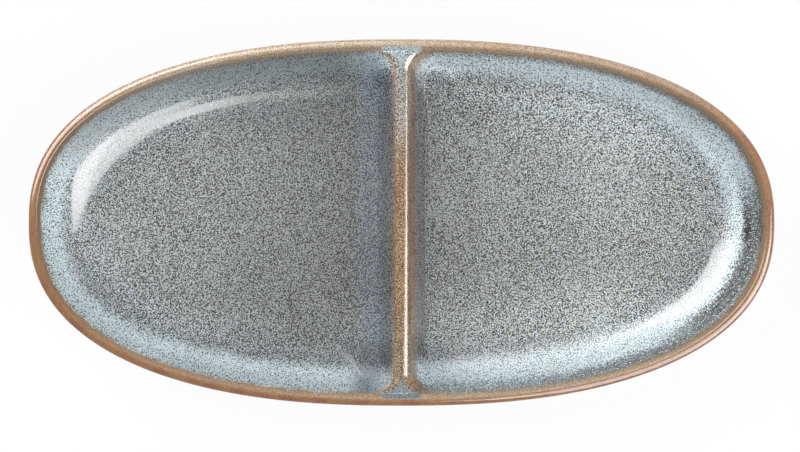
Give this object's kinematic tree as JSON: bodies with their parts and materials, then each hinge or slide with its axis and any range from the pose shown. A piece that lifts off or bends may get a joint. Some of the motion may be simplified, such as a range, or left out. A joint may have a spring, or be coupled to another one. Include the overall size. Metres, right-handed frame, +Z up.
{
  "type": "olive dish",
  "caption": "Oval stoneware olive dish with a rounded brown lip, a divider wall between round-bottomed wells, mottled grey-blue glaze and a bare foot ring.",
  "frame": {"origin": "middle of the plane that the foot ring stands on", "axes": "+X along the dish's length towards the right well, +Y across it, +Z up"},
  "size_m": [0.24, 0.118, 0.029],
  "materials": {
    "bare_clay": "bare fired stoneware, matt",
    "well_glaze": "mottled grey-blue reactive glaze, glossy",
    "edge_glaze": "brown glaze run thin over the edges, glossy",
    "outside_glaze": "mottled grey-blue reactive glaze, glossy"
  },
  "bodies": {
    "root": {"stoneware_shell": "bare_clay", "divider_wall": "bare_clay", "foot_ring": "bare_clay", "left_well_glaze": "well_glaze", "right_well_glaze": "well_glaze", "rim_glaze": "edge_glaze", "divider_glaze": "edge_glaze", "outside_glaze": "outside_glaze", "base_glaze": "outside_glaze"}
  },
  "joints": []
}
